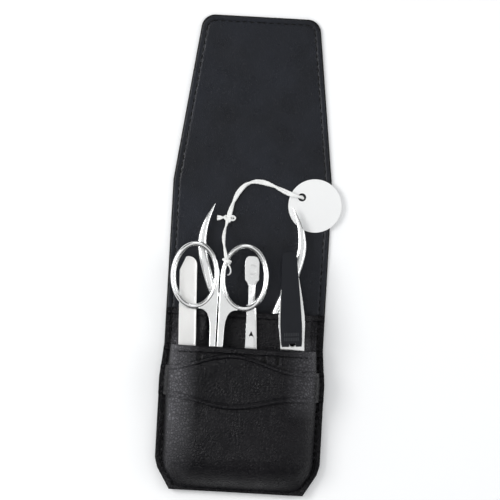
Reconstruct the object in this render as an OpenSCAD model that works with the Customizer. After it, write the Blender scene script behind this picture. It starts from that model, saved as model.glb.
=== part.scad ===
// Manicure set in a folding leather case: opened flat, flap up, tools standing in two sewn pockets.
// Millimetres. The case lies on its back: X is its width, +Y runs to the flap's end, +Z faces the viewer.
// The origin is under the middle of the case, on the surface that it lies on.

/* [Case] */
// Length of the opened case, from the bottom edge to the flap's end
case_l = 200; // [196:1:215]
// Width across the mouths of the pockets
case_w = 66.8; // [65:0.2:74]
// How far each side of the lower pocket stands out past the upper sides
base_flare = 1.3; // [0.5:0.1:3]
// Width of the flap at its end
tip_w = 49; // [40:1:56]
// Height above the bottom edge at which the flap starts to narrow
taper_start = 130; // [126:1:136]
// Height above the bottom edge of the first fold, where the spine starts
fold_h = 122.5; // [122:0.5:126]
// Radius of the two corners at the flap's end
corner_r = 5; // [2:0.5:10]
// Width of the slanted cut at each bottom corner
cut_x = 6.5; // [4:0.5:9]
// Height of the slanted cut at each bottom corner
cut_y = 11; // [8:0.5:14]
// Thickness of the outer leather
leather_t = 1; // [0.8:0.1:1.4]
// Thickness of the lining
lining_t = 0.6; // [0.4:0.1:1]
// How far the lining's edge lies inside the leather's edge
lining_inset = 0.6; // [0.3:0.1:1.2]

/* [Pockets] */
// Height above the bottom edge of the rear pocket's mouth
rear_mouth = 76; // [70:0.5:78]
// Height above the bottom edge of the front pocket's mouth
front_mouth = 61; // [60:0.5:66]
// Thickness of the rear pocket's leather
rear_t = 0.8; // [0.6:0.1:1.2]
// Thickness of the front pocket's leather
front_t = 1; // [0.7:0.1:1.3]
// Width of the flat sewn seam along each side
seam_w = 4; // [3:0.2:4.4]
// Height of the flat sewn seam along the bottom
hem_h = 3; // [2:0.5:5]
// Length over which a pocket swells from its bottom seam to its full depth
swell_l = 15; // [10:1:16]

/* [Closing band] */
// Thickness of the band
band_t = 0.9; // [0.7:0.1:1.3]
// Width of the band at its middle
band_mid_w = 23; // [18:1:26]
// Width of the band at its sewn ends
band_end_w = 12.4; // [10:0.2:16]
// Distance from the front pocket's mouth down to the band's upper edge, at the middle
band_drop = 2.7; // [2:0.1:5]
// How far the band's widest place lies to the left of the case's middle
band_shift = 4; // [0:0.5:8]
// Width of the raised border along the band's edges
border_w = 1.7; // [1:0.1:2.5]
// Height of that raised border
border_t = 0.25; // [0.1:0.05:0.3]

/* [Scissors] */
// Thickness of each half where the halves cross
scissor_t = 1.3; // [1:0.1:1.5]
// Width of a finger ring, outside
ring_w = 20.4; // [18:0.2:21]
// Length of a finger ring, outside
ring_l = 28.4; // [25:0.2:30]
// Width of a ring's wire
ring_wire = 2.2; // [1.8:0.1:2.4]
// Distance from the pivot up to the middle of the rings
ring_rise = 45; // [43:0.5:46]
// Distance from the pivot down to the blades' points
blade_l = 28.5; // [22:0.5:29]
// Distance of the pivot below the front pocket's mouth
scissor_depth = 15.7; // [14:0.1:16]
// Radius of the pivot screw's shaft
screw_r = 1.3; // [1:0.1:1.6]

/* [Nippers] */
// Thickness of the nippers at the joint
nipper_t = 5.6; // [5:0.1:6]
// Length of the handles, from the joint to the tips
handle_l = 73.5; // [70:0.5:74]
// Sideways reach of each handle at its widest
handle_reach = 20.9; // [19:0.1:21.5]
// Length of the jaws, from the joint to the points
jaw_l = 26; // [20:0.5:27]
// Angle at which the jaws stand open
jaw_gap_angle = 12; // [8:1:12]
// Radius of the joint's round cheeks
cheek_r = 5.2; // [4.6:0.1:5.4]
// Radius of the joint's rivet
rivet_r = 1.5; // [1.2:0.1:1.8]
// Thickness of the leaf springs
leaf_t = 0.5; // [0.4:0.05:0.6]

/* [Clipper] */
// Length of the clipper from its pin to its tail
clip_tail = 37.6; // [35:0.2:39]
// Length of the clipper from its pin to its cutting edge
clip_jaw = 8.6; // [7:0.2:9]
// Width of the clipper at its widest
clip_w = 11; // [10:0.2:11.4]
// Thickness of each arm
arm_t = 1; // [0.8:0.05:1.1]
// Radius of the pin
pin_r = 1.25; // [1:0.05:1.35]
// Width of the lever's cover at the pin end
cover_w = 9; // [7.6:0.2:9.2]
// Thickness of the lever's cover at the pin end
cover_t = 1.3; // [1:0.1:1.6]

/* [File and pusher] */
// Length of the file
file_l = 89; // [80:1:90]
// Width of the file
file_w = 7.2; // [6:0.2:7.6]
// Thickness of the file and of the pusher's body
file_t = 1.2; // [1:0.1:1.6]
// Length of the cuticle pusher
pusher_l = 88; // [80:1:90]
// Width of the pusher's spoon
spoon_w = 5.9; // [5:0.1:6.4]
// Width of the pusher's body
pusher_w = 4.8; // [4:0.1:5]

/* [Tag] */
// Diameter of the tag
tag_d = 22.4; // [18:0.2:24]
// Thickness of the tag's card
tag_t = 0.5; // [0.3:0.05:0.6]
// Diameter of the tag's hole
tag_hole_d = 3.4; // [3.2:0.1:4]
// Diameter of the string
string_d = 1.6; // [1.2:0.1:1.8]

/* [Hidden] */

$fn = 48;
fit = 0.05;
rest_gap = 0.2;
safe_gap = 0.3;

// Edges of the case, measured from its middle
y_low = -case_l / 2;
y_fold = y_low + fold_h;
y_front = y_low + front_mouth;
base_half = case_w / 2 + base_flare;

// The stack of layers, from the leather's back upwards
z_lining = leather_t + lining_t;
z_nip = z_lining + rest_gap;
z_nip_top = z_nip + nipper_t;
z_nip_mid = z_nip + nipper_t / 2;
rear_depth = z_nip_top + safe_gap - z_lining;
z_rear_top = z_lining + rear_depth + rear_t;
z_tools = z_rear_top + safe_gap;
z_scissor = z_tools + file_t + 0.35;
z_scissor_top = z_scissor + 2 * scissor_t + 2 * fit;
z_ring = (z_scissor + z_scissor_top) / 2;
front_base = z_lining + rear_t;
front_depth = z_scissor_top + 1 - front_base;
z_front_top = front_base + front_depth + front_t;

// The lever clears the front pocket's lip, and the closed flap clears the lever
z_lever = z_front_top - 0.2;
lever_t = 1;
z_lever_top = z_lever + lever_t + cover_t + rest_gap;
spine_h = z_lever_top + safe_gap - z_lining;

// Half of the case's width at height v above the bottom edge
function case_half(v) = lookup(v, [
    [0, base_half - cut_x],
    [cut_y - 2, base_half - 1.1],
    [cut_y + 2, base_half],
    [front_mouth - 14, base_half],
    [front_mouth, case_w / 2],
    [taper_start, case_w / 2],
    [case_l, tip_w / 2]]) - corner_in(v - case_l + corner_r);
function corner_in(d) = d > 0 ? corner_r - sqrt(max(0, corner_r * corner_r - d * d)) : 0;

// Heights at which the outline turns, between v0 and v1
function outline_heights(v0, v1) = concat([v0],
    [for (v = [cut_y - 2, cut_y + 2, front_mouth - 14, front_mouth, taper_start]) if (v > v0 && v < v1) v],
    [for (a = [0:15:75]) let (v = case_l - corner_r + corner_r * sin(a)) if (v > v0 && v < v1) v],
    [v1]);

// Flat piece of the case between two heights, drawn in by inset from the outer edge
module case_piece(v0, v1, inset, end_inset, z0, t) {
    hs = outline_heights(v0, v1);
    top = len(hs) - 1;
    function end_y(i) = hs[i] - (i == top ? end_inset : 0) + (i == 0 ? (v0 == 0 ? inset : 0) : 0);
    right = [for (i = [0:top]) [case_half(hs[i]) - inset, y_low + end_y(i)]];
    left = [for (i = [top:-1:0]) [-right[i].x, right[i].y]];
    translate([0, 0, z0]) linear_extrude(t) polygon(concat(right, left));
}

// Closed solid between an upper and a lower grid of points, rows along +Y and columns along +X
module shell(upper, lower) {
    rows = len(upper);
    cols = len(upper[0]);
    n = rows * cols;
    function id(i, j) = i * cols + j;
    faces = concat(
        [for (i = [0:rows - 2], j = [0:cols - 2]) each [
            [id(i, j), id(i + 1, j), id(i + 1, j + 1)], [id(i, j), id(i + 1, j + 1), id(i, j + 1)],
            [n + id(i, j), n + id(i, j + 1), n + id(i + 1, j + 1)],
            [n + id(i, j), n + id(i + 1, j + 1), n + id(i + 1, j)]]],
        [for (j = [0:cols - 2]) let (r = rows - 1) each [
            [n + id(0, j), id(0, j), id(0, j + 1)], [n + id(0, j), id(0, j + 1), n + id(0, j + 1)],
            [n + id(r, j + 1), id(r, j + 1), id(r, j)], [n + id(r, j + 1), id(r, j), n + id(r, j)]]],
        [for (i = [0:rows - 2]) let (c = cols - 1) each [
            [id(i + 1, 0), id(i, 0), n + id(i, 0)], [id(i + 1, 0), n + id(i, 0), n + id(i + 1, 0)],
            [id(i, c), id(i + 1, c), n + id(i + 1, c)], [id(i, c), n + id(i + 1, c), n + id(i, c)]]]);
    polyhedron(points = [for (g = [upper, lower], row = g, p = row) p], faces = faces);
}

// Height of a swollen pocket across its width, as a share of its depth; f runs from -1 to 1
crown_power = 5;
function crown(f) = pow(max(0, 1 - pow(abs(f), crown_power)), 1 / crown_power);
half_spread = [0.15, 0.3, 0.45, 0.6, 0.7, 0.78, 0.85, 0.9, 0.94, 0.97, 0.99, 1];
spread = concat([for (i = [len(half_spread) - 1:-1:0]) -half_spread[i]], [0], half_spread);

// Share of its depth that a pocket has at height v above the bottom edge
function swell(v) = let (s = min(1, max(0, (v - hem_h) / swell_l))) pow(1 - pow(1 - s, 2.5), 0.4);

// The rear pocket swells inside the front one
rear_narrow = rear_t + 0.4;

// One row of a layer that lies off beyond a pocket's inner face; floor_t is its height on the seams
function pocket_row(v, y, base, depth, narrow, off, floor_t) =
    let (w = case_half(v) - seam_w - narrow, d = depth * swell(v))
    concat([[-case_half(v), y, base + floor_t]],
        [for (f = spread) [f * (w + off), y, base + max(floor_t, (d + off) * crown(f))]],
        [[case_half(v), y, base + floor_t]]);

// A sewn pocket panel, from the bottom edge up to its mouth
module pocket(mouth, base, depth, narrow, t) {
    steps = [0.04, 0.12, 0.25, 0.42, 0.65, 1];
    vs = concat([0, hem_h], [for (s = steps) hem_h + s * swell_l],
        [for (v = [front_mouth - 14, front_mouth]) if (v < mouth) v], [mouth]);
    shell([for (v = vs) pocket_row(v, y_low + v, base, depth, narrow, t, t)],
        [for (v = vs) pocket_row(v, y_low + v, base, depth, narrow, 0, 0)]);
}

module back_leather() {
    color("#1b1b1e") case_piece(0, fold_h - fit, 0, 0, 0, leather_t);
}

module back_lining() {
    color("#232327") case_piece(0, fold_h - fit, lining_inset, 0, leather_t, lining_t);
}

module spine_leather() {
    color("#1b1b1e") case_piece(fold_h + fit, fold_h + spine_h - fit, 0, 0, 0, leather_t);
}

module spine_lining() {
    color("#232327") case_piece(fold_h + fit, fold_h + spine_h - fit, lining_inset, 0, leather_t, lining_t);
}

module flap_leather() {
    color("#1b1b1e") case_piece(fold_h + spine_h + fit, case_l, 0, 0, 0, leather_t);
}

module flap_lining() {
    color("#232327")
        case_piece(fold_h + spine_h + fit, case_l, lining_inset, lining_inset, leather_t, lining_t);
}

module rear_pocket() {
    color("#202023") pocket(rear_mouth, z_lining, rear_depth, rear_narrow, rear_t);
}

module front_pocket() {
    color("#26262a") pocket(front_mouth, front_base, front_depth, 0, front_t);
}

// The band is widest off the middle and draws in towards its ends on a smooth wave
band_reach = 27;
function band_edge(x, mid, end) =
    mid + (end - mid) * (1 - cos(180 * min(1, abs(x + band_shift) / band_reach))) / 2;
band_top_mid = front_mouth - band_drop;
band_low_mid = band_top_mid - band_mid_w;
band_top_end = band_top_mid - (band_mid_w - band_end_w) * 0.58;
band_low_end = band_top_end - band_end_w;
band_spread = [0.05, 0.12, 0.2, 0.28, 0.36, 0.45, 0.54, 0.62, 0.7, 0.78, 0.85, 0.9, 0.94, 0.97, 0.99, 1];

// One row of the band's face at share q of its width, lying off beyond the pocket's inner face
function band_row(q, off, floor_t) =
    let (fs = concat([for (i = [len(band_spread) - 1:-1:0]) -band_spread[i]], [0], band_spread))
    concat([band_end(-1, q, floor_t)],
        [for (f = fs) let (x = f * (case_w / 2 - seam_w), v = band_height(x, q),
            w = case_half(v) - seam_w + off)
            [f * w, y_low + v, front_base + max(floor_t, (front_depth + off) * crown(f))]],
        [band_end(1, q, floor_t)]);
function band_height(x, q) =
    band_edge(x, band_low_mid, band_low_end) * (1 - q) + band_edge(x, band_top_mid, band_top_end) * q;
function band_end(side, q, floor_t) = let (v = band_height(side * case_w / 2, q))
    [side * case_half(v), y_low + v, front_base + floor_t];

module closing_band() {
    in = border_w / band_mid_w;
    qs = [0, in, in * 1.25, 0.5, 1 - in * 1.25, 1 - in, 1];
    raise = [border_t, border_t, 0, 0, 0, border_t, border_t];
    low = front_t + rest_gap;
    color("#2a2a2e") shell(
        [for (i = [0:6]) band_row(qs[i], low + band_t + raise[i], front_t + band_t)],
        [for (i = [0:6]) band_row(qs[i], low, front_t)]);
}

// Small helpers for swept bars and tubes
function unit(v) = v / norm(v);
function tangent(p, i) = unit(p[min(i + 1, len(p) - 1)] - p[max(i - 1, 0)]);
function square_to(n, t) = unit(n - (n * t) * t);
function blend(p, i, t) =
    let (a = p[max(i - 1, 0)], b = p[i], c = p[i + 1], d = p[min(i + 2, len(p) - 1)])
    0.5 * (2 * b + (c - a) * t + (2 * a - 5 * b + 4 * c - d) * t * t + (3 * b - a - 3 * c + d) * t * t * t);
function smooth(p, k) = concat([for (i = [0:len(p) - 2], s = [0:k - 1]) blend(p, i, s / k)], [p[len(p) - 1]]);

// Solid skinned over a list of rings of points, closed by a fan at each end
module skin(rings) {
    k = len(rings[0]);
    last = (len(rings) - 1) * k;
    faces = concat(
        [for (i = [0:len(rings) - 2], j = [0:k - 1]) let (a = i * k + j, b = i * k + (j + 1) % k) each [
            [a, b, b + k], [a, b + k, a + k]]],
        [for (j = [1:k - 2]) each [[0, j + 1, j], [last, last + j, last + j + 1]]]);
    polyhedron(points = [for (r = rings, p = r) p], faces = faces);
}

// Bar along a flat path: half widths in the plane and half heights upwards, one for each point
module bar(path, half_w, half_h, sides) {
    skin([for (i = [0:len(path) - 1])
        let (t = tangent(path, i), side = [t.y, -t.x, 0])
        [for (j = [0:sides - 1]) let (a = 360 * (j + 0.5) / sides)
            path[i] + side * half_w[i] * cos(a) + [0, 0, half_h[i] * sin(a)]]]);
}

// Round tube along a path in space
module tube(path, r, sides) {
    normals = [for (i = 0, n = square_to([1, 0, 0.2], tangent(path, 0)); i < len(path);
        i = i + 1, n = square_to(n, tangent(path, min(i, len(path) - 1)))) n];
    skin([for (i = [0:len(path) - 1]) let (t = tangent(path, i), n = normals[i], b = cross(n, t))
        [for (j = [0:sides - 1]) let (a = 360 * j / sides) path[i] + r * (cos(a) * n + sin(a) * b)]]);
}

module flipped(on) {
    if (on) mirror([1, 0, 0]) children();
    else children();
}

// Scissors: the pivot is at the local origin, the rings stand up along +Y and nearly touch
scissor_x = -11.5;
ring_apart = 0.3;
scissor_y = y_front - scissor_depth;
ring_cx = (ring_w + ring_apart) / 2;
ring_a = (ring_w - ring_wire) / 2;
ring_b = (ring_l - ring_wire) / 2;
shank_t = 2 * scissor_t - 0.4;
boss_r = 4.6;
shank_low = boss_r + 1.7;

module finger_ring() {
    n = 40;
    k = 8;
    pts = [for (i = [0:n - 1]) let (a = 360 * i / n, t = unit([-ring_a * sin(a), ring_b * cos(a), 0]))
        [for (j = [0:k - 1]) let (s = 360 * (j + 0.5) / k)
            [ring_cx + ring_a * cos(a), ring_rise + ring_b * sin(a), 0]
            + [t.y, -t.x, 0] * ring_wire / 2 * cos(s) / cos(180 / k)
            + [0, 0, scissor_t * sin(s) / cos(180 / k)]]];
    faces = [for (i = [0:n - 1], j = [0:k - 1])
        let (i2 = (i + 1) % n, j2 = (j + 1) % k, a = i * k + j, c = i2 * k + j2)
        each [[a, i * k + j2, c], [a, c, i2 * k + j]]];
    polyhedron(points = [for (r = pts, p = r) p], faces = faces);
}

// Web and shank below a ring: along the ring's inner quarter, a hollow fillet, then down the shank
shank_in = 0.35;
shank_out = 2.9;

module shank() {
    quarter = [for (a = [176:10:256]) [ring_cx + ring_a * cos(a), ring_rise + ring_b * sin(a)]];
    from = [ring_cx - 2.2, ring_rise - ring_b - 0.75];
    to = [shank_out + 0.1, ring_rise - ring_b - 8.5];
    fillet = [for (s = [0:0.2:1]) let (c = [shank_out + 0.6, from.y + 0.4])
        (1 - s) * (1 - s) * from + 2 * s * (1 - s) * c + s * s * to];
    polygon(concat(quarter, fillet,
        [[shank_out - 0.3, shank_low], [shank_in, shank_low], [shank_in, ring_rise - 1]]));
}

// Blade of the half whose ring stands at +X: it crosses to -X below the pivot
module blade() {
    polygon([[1.6, -1], [-boss_r + 0.1, -1], [-boss_r + 0.3, -blade_l * 0.25],
        [-3.6, -blade_l * 0.5], [-2.3, -blade_l * 0.75], [-0.5, -blade_l], [0.2, -blade_l],
        [0.9, -blade_l * 0.6], [1.3, -blade_l * 0.2]]);
}

module scissor_half(left, layer_z, bore_r) {
    flipped(left) difference() {
        union() {
            translate([0, 0, z_ring]) finger_ring();
            translate([0, 0, z_ring - shank_t / 2]) linear_extrude(shank_t) shank();
            translate([0, 0, layer_z]) linear_extrude(scissor_t) blade();
            translate([0, 0, layer_z]) cylinder(r = boss_r, h = scissor_t);
            translate([0, 0, layer_z]) linear_extrude(scissor_t)
                polygon([[shank_in, 0], [4, 0], [shank_out, shank_low + 3], [shank_in, shank_low + 3]]);
        }
        translate([0, 0, z_scissor - 1]) cylinder(r = bore_r, h = 3 * scissor_t + 2);
    }
}

module scissor_half_right() {
    color("#e4e5e6") translate([scissor_x, scissor_y, 0]) scissor_half(false, z_scissor, screw_r + fit / 2);
}

module scissor_half_left() {
    color("#dfe0e2") translate([scissor_x, scissor_y, 0])
        scissor_half(true, z_scissor + scissor_t + fit, screw_r + fit);
}

module scissor_screw() {
    head_z = z_scissor + 2 * scissor_t + 2 * fit;
    color("#cfd0d2") translate([scissor_x, scissor_y, 0]) difference() {
        union() {
            translate([0, 0, z_scissor]) cylinder(r = screw_r, h = head_z - z_scissor + 0.1);
            translate([0, 0, head_z]) cylinder(r = screw_r + 1, h = 0.4);
        }
        translate([-screw_r - 2, -0.25, head_z + 0.2]) cube([2 * screw_r + 4, 0.5, 1]);
    }
}

// Nippers: the joint is at the local origin, the handles stand up along +Y
nipper_x = 1.2;
nipper_y = y_front - 14;
cheek_t = (nipper_t - 2 * fit) / 2;
// Course of the left handle, as shares of its reach and length, from the joint to the tip
handle_shape = [[-0.23, 0.136], [-0.354, 0.23], [-0.512, 0.354], [-0.665, 0.47], [-0.81, 0.565],
    [-0.952, 0.69], [-1, 0.79], [-0.938, 0.895], [-0.785, 1]];
handle_half_w = [2.4, 2.4, 2.3, 2.25, 2.2, 2.1, 1.9, 1.3, 0.25];
handle_half_h = [2.05, 2.05, 2.05, 2, 2, 1.9, 1.7, 1.3, 0.5];
handle_sides = 10;
function handle_at(i) = [handle_shape[i].x * handle_reach, handle_shape[i].y * handle_l];
knee = handle_at(0);
beyond = handle_at(1);

// Strip from a to b in one cheek's layer, w0 and w1 wide at its ends
module strip(a, b, w0, w1) {
    t = (b - a) / norm(b - a);
    s = [t.y, -t.x];
    polygon([a - s * w0 / 2, a + s * w0 / 2, b + s * w1 / 2, b - s * w1 / 2]);
}

module nipper_handle() {
    k = 3;
    path = smooth([for (i = [0:len(handle_shape) - 1]) [handle_at(i).x, handle_at(i).y, z_nip_mid]], k);
    ws = smooth([for (w = handle_half_w) [w, 0]], k);
    hs = smooth([for (h = handle_half_h) [h, 0]], k);
    bar(path, [for (w = ws) w.x], [for (h = hs) h.x], handle_sides);
}

// Jaw of the half whose handle stands at -X: it crosses to +X below the joint
module nipper_jaw() {
    open = jaw_gap_angle / 2;
    function inner(y) = -y * tan(open) + 0.1;
    start = cheek_r + 1;
    polygon([[inner(-start), -start], [4.9, -start + 1.8], [6.1, -jaw_l * 0.36], [6.6, -jaw_l * 0.58],
        [6, -jaw_l * 0.8], [inner(-jaw_l) + 0.5, -jaw_l], [inner(-jaw_l), -jaw_l]]);
}

module nipper_half(right, layer_z, bore_r) {
    open = jaw_gap_angle / 2;
    flipped(right) difference() {
        union() {
            nipper_handle();
            translate([0, 0, layer_z]) cylinder(r = cheek_r, h = cheek_t);
            translate([0, 0, layer_z]) linear_extrude(cheek_t) strip([0, 0], (knee + beyond) / 2, 7, 3.6);
            translate([0, 0, layer_z]) linear_extrude(cheek_t)
                polygon([[-1, 0], [5, 0], [5.6, -cheek_r - 2.5], [(cheek_r + 2.5) * tan(open) + 0.1,
                    -cheek_r - 2.5]]);
            translate([0, 0, z_nip]) linear_extrude(nipper_t) nipper_jaw();
        }
        translate([0, 0, z_nip - 1]) cylinder(r = bore_r, h = nipper_t + 2);
        at_seat(-screw_in - fit) cylinder(r = spring_screw_r + fit, h = screw_in + 1);
    }
}

// Leaf springs: screwed on the inside of each handle above the joint, they bow inwards to meet tip to tip.
// Their seat is on the handle's flat inner face, midway between its first two points.
spring_screw_r = 0.6;
screw_in = 1.5;
screw_head_r = 1.1;
screw_head_t = 0.5;
leaf_w = 2.8;
leaf_root = 1.8;
seat_up = unit(beyond - knee);
seat_out = [seat_up.y, -seat_up.x];
seat = (knee + beyond) / 2 + seat_out * (handle_half_w[0] * cos(180 / handle_sides) + fit);
leaf_tip = [-leaf_t / 2 - 0.35, handle_l * 0.435];
// Bend of the free part, as shares of the way across and up to the tip
leaf_bend = [[0.04, 0.14], [0.24, 0.34], [0.61, 0.64], [0.92, 0.89], [1, 1]];

// Places its children on the seat, pushed out from the handle's face, with +Z along the screw
module at_seat(out) {
    translate([seat.x + seat_out.x * out, seat.y + seat_out.y * out, z_nip_mid])
        rotate([0, 0, atan2(seat_out.y, seat_out.x)]) rotate([0, 90, 0]) children();
}

module leaf_spring(right) {
    mid = seat + seat_out * leaf_t / 2;
    top = mid + seat_up * leaf_root;
    course = concat([mid - seat_up * leaf_root, mid, top],
        [for (b = leaf_bend) [top.x + b.x * (leaf_tip.x - top.x), top.y + b.y * (leaf_tip.y - top.y)]]);
    path = smooth([for (q = course) [q.x, q.y, 0]], 3);
    sides = [for (s = [-1, 1]) [for (i = [0:len(path) - 1]) let (t = tangent(path, i))
        [path[i].x + s * t.y * leaf_t / 2, path[i].y - s * t.x * leaf_t / 2]]];
    back = [for (i = [len(path) - 1:-1:0]) sides[1][i]];
    flipped(right) difference() {
        translate([0, 0, z_nip_mid - leaf_w / 2]) linear_extrude(leaf_w) polygon(concat(sides[0], back));
        at_seat(-1) cylinder(r = spring_screw_r + fit, h = leaf_t + 2);
    }
}

module spring_screw(right) {
    flipped(right) {
        at_seat(-screw_in) cylinder(r = spring_screw_r, h = screw_in + leaf_t + 2 * fit);
        at_seat(leaf_t + fit) cylinder(r = screw_head_r, h = screw_head_t);
    }
}

module at_nippers() {
    translate([nipper_x, nipper_y, 0]) children();
}

module nipper_half_left() {
    color("#dcdde0") at_nippers() nipper_half(false, z_nip, rivet_r + fit / 2);
}

module nipper_half_right() {
    color("#d8d9dc") at_nippers() nipper_half(true, z_nip + cheek_t + 2 * fit, rivet_r + fit);
}

module nipper_rivet() {
    color("#c8c9cc") at_nippers() translate([0, 0, z_nip]) cylinder(r = rivet_r, h = nipper_t);
}

module leaf_spring_left() {
    color("#c9cacd") at_nippers() leaf_spring(false);
}

module leaf_spring_right() {
    color("#c9cacd") at_nippers() leaf_spring(true);
}

module spring_screw_left() {
    color("#bfc0c3") at_nippers() spring_screw(false);
}

module spring_screw_right() {
    color("#bfc0c3") at_nippers() spring_screw(true);
}

// Clipper: the pin is at the local origin, the tail points along +Y, jaws down in the pocket
clip_x = case_w / 2 - 13.3;
clip_y = y_front + 3.1;
clip_angle = 4.4;
z_clip = z_tools;
z_arm_low = z_clip + arm_t;
z_arm_top = z_clip + 4.1;
z_axle = z_lever + 0.2;
axle_r = 0.7;
ear_r = 1.4;
ear_in = pin_r + 0.3;
ear_out = ear_in + 0.85;
pin_head_r = pin_r + 0.95;
pin_head_t = 0.4;
tail_rivet_r = 1;

module at_clipper() {
    translate([clip_x, clip_y, 0]) rotate([0, 0, clip_angle]) children();
}

// Solid that has one outline from above and another from the side, given as [y, z] points
module two_way(side_points) {
    intersection() {
        translate([0, 0, z_clip - 2]) linear_extrude(z_lever_top) children();
        rotate([90, 0, 90]) translate([0, 0, -clip_w]) linear_extrude(2 * clip_w) polygon(side_points);
    }
}

// Outline of an arm from above: narrow at the tail, widest near the pin, square at the jaws
module arm_outline() {
    h = clip_w / 2;
    tail_r = 2.3;
    round_tail = [for (a = [0:20:180]) [tail_r * cos(a), clip_tail - tail_r + tail_r * sin(a)]];
    difference() {
        polygon(concat([[h - 0.5, -clip_jaw], [h - 0.5, 0], [h, 8], [h - 0.15, 12], [h - 0.9, 19]],
            round_tail, [[0.9 - h, 19], [0.15 - h, 12], [-h, 8], [0.5 - h, 0], [0.5 - h, -clip_jaw]]));
        translate([0, -clip_jaw - 15.4]) circle(r = 16, $fn = 96);
    }
}

rivet_y = clip_tail - 2.6;

module clipper_lower_arm() {
    tip = z_arm_low + 0.4;
    color("#d9dadc") at_clipper() difference() {
        two_way([[clip_tail, z_clip], [1 - clip_jaw, z_clip], [-clip_jaw, z_clip + 0.5], [-clip_jaw, tip],
            [0.5 - clip_jaw, tip], [1.8 - clip_jaw, z_arm_low], [clip_tail, z_arm_low]]) arm_outline();
        translate([0, 0, z_clip - 1]) cylinder(r = pin_r + fit, h = 4);
        translate([0, 0, z_clip - 1]) cylinder(r = pin_head_r + fit, h = 1 + pin_head_t + fit);
        translate([0, rivet_y, z_clip - 1]) cylinder(r = tail_rivet_r + fit / 2, h = 4);
    }
}

module clipper_upper_arm() {
    z0 = z_arm_low + fit;
    edge = z_arm_low + 1.1;
    color("#e2e3e5") at_clipper() difference() {
        two_way([[clip_tail, z0], [clip_tail - 3.4, z0], [clip_tail * 0.75, z0 + 0.15],
            [14, z_arm_top - arm_t - 0.5], [2, z_arm_top - arm_t], [-3, z_arm_top - arm_t - 0.3],
            [2 - clip_jaw, z_arm_top - arm_t - 0.5], [1 - clip_jaw, edge + 0.1], [-clip_jaw, edge],
            [-clip_jaw, edge + 0.15], [1.2 - clip_jaw, z_arm_top - 1.1], [-3, z_arm_top - 0.4],
            [2, z_arm_top], [14, z_arm_top - 0.5], [clip_tail * 0.75, z0 + arm_t + 0.15],
            [clip_tail, z0 + arm_t]]) arm_outline();
        translate([0, 0, z_clip - 1]) cylinder(r = pin_r + 0.35, h = 8);
        translate([0, rivet_y, z_clip - 1]) cylinder(r = tail_rivet_r + 3 * fit, h = 8);
    }
}

module clipper_tail_rivet() {
    color("#c4c5c8") at_clipper() translate([0, rivet_y, z_clip]) {
        cylinder(r = tail_rivet_r, h = 2 * arm_t + fit + 0.3);
        translate([0, 0, 2 * arm_t + 4 * fit]) cylinder(r = tail_rivet_r + 0.5, h = 0.3);
    }
}

module clipper_pin() {
    color("#cdced1") at_clipper() difference() {
        union() {
            translate([0, 0, z_clip]) cylinder(r = pin_r, h = z_axle - z_clip);
            translate([0, 0, z_axle]) intersection() {
                cylinder(r = pin_r, h = pin_r);
                across(pin_r, pin_r);
            }
            translate([0, 0, z_clip]) cylinder(r = pin_head_r, h = pin_head_t);
        }
        translate([0, 0, z_axle]) across(axle_r + fit, clip_w);
    }
}

// The lever slopes down from the pin to its free end. Its cover is wider and reaches over the pin.
lever_end = clip_tail + 0.3;
lever_start = ear_r + 0.6;
lever_w = cover_w - 0.8;
lever_end_w = clip_w * 0.47;
cover_start = -0.4;
cover_end_w = lever_end_w + 0.8;
cover_shift = -0.3;
end_corner = 1.5;
rib_w = 0.35;
rib_l = 1.4;
function lever_z(y) = lookup(y, [[0, z_lever], [9, z_lever - 0.1], [24, z_lever - 1.5],
    [lever_end, z_lever - 2.6]]);

module lever_outline(start, w_pin, w_end) {
    in = w_end / 2 - end_corner;
    up = lever_end - end_corner;
    polygon(concat([[w_pin / 2 - 0.2, start], [w_pin / 2, 8], [(w_pin + w_end) / 4 + 0.2, 20]],
        [for (a = [0:22.5:90]) [in + end_corner * cos(a), up + end_corner * sin(a)]],
        [for (a = [90:22.5:180]) [-in + end_corner * cos(a), up + end_corner * sin(a)]],
        [[-(w_pin + w_end) / 4 - 0.2, 20], [-w_pin / 2, 8], [0.2 - w_pin / 2, start]]));
}

// Side view of a layer on the lever, lying between two heights above its lower face
module lever_layer(start, h0, h1, h1_end, w_pin, w_end) {
    ys = concat([start], [for (y = [0, 9, 16, 24, lever_end]) if (y > start) y]);
    low = [for (y = ys) [y, lever_z(y) + h0]];
    high = [for (i = [len(ys) - 1:-1:0]) [ys[i], lever_z(ys[i]) + h1 + (h1_end - h1) * ys[i] / lever_end]];
    two_way(concat(low, high)) lever_outline(start, w_pin, w_end);
}

// Round bar along the crossbar's line, reaching half_l to each side
module across(r, half_l) {
    translate([-half_l, 0, 0]) rotate([0, 90, 0]) cylinder(r = r, h = 2 * half_l);
}

module clipper_lever() {
    color("#dedfe1") at_clipper() {
        lever_layer(lever_start, 0, lever_t, lever_t, lever_w, lever_end_w);
        for (side = [-1, 1]) {
            x = side > 0 ? ear_in : -ear_out;
            translate([x, 0, z_axle]) rotate([0, 90, 0]) cylinder(r = ear_r, h = ear_out - ear_in);
            translate([x, 0, z_lever]) cube([ear_out - ear_in, lever_start + 0.5, lever_t - fit]);
        }
        translate([0, 0, z_axle]) across(axle_r, ear_out);
    }
}

// The cover's underside is hollowed over the ears, and further over the pin, which swings under it
module lever_cover() {
    top = z_lever + lever_t + cover_t;
    color("#1a1a1c") at_clipper() difference() {
        translate([cover_shift, 0, 0]) {
            lever_layer(cover_start, lever_t, lever_t + cover_t, lever_t + 0.9, cover_w, cover_end_w);
            for (row = [1.1, 3.1], i = [-4:4])
                translate([i * 2 * rib_w - rib_w / 2, row, top - 0.2]) cube([rib_w, rib_l, 0.3]);
        }
        translate([0, 0, z_axle]) across(ear_r + fit, ear_out + fit);
        translate([0, 0, z_axle]) across(pin_r + 0.45, pin_r + fit);
        translate([-pin_r - fit, cover_start - 1, z_lever])
            cube([2 * (pin_r + fit), 1 + fit - cover_start, lever_t + 2 * cover_t]);
    }
}

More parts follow.
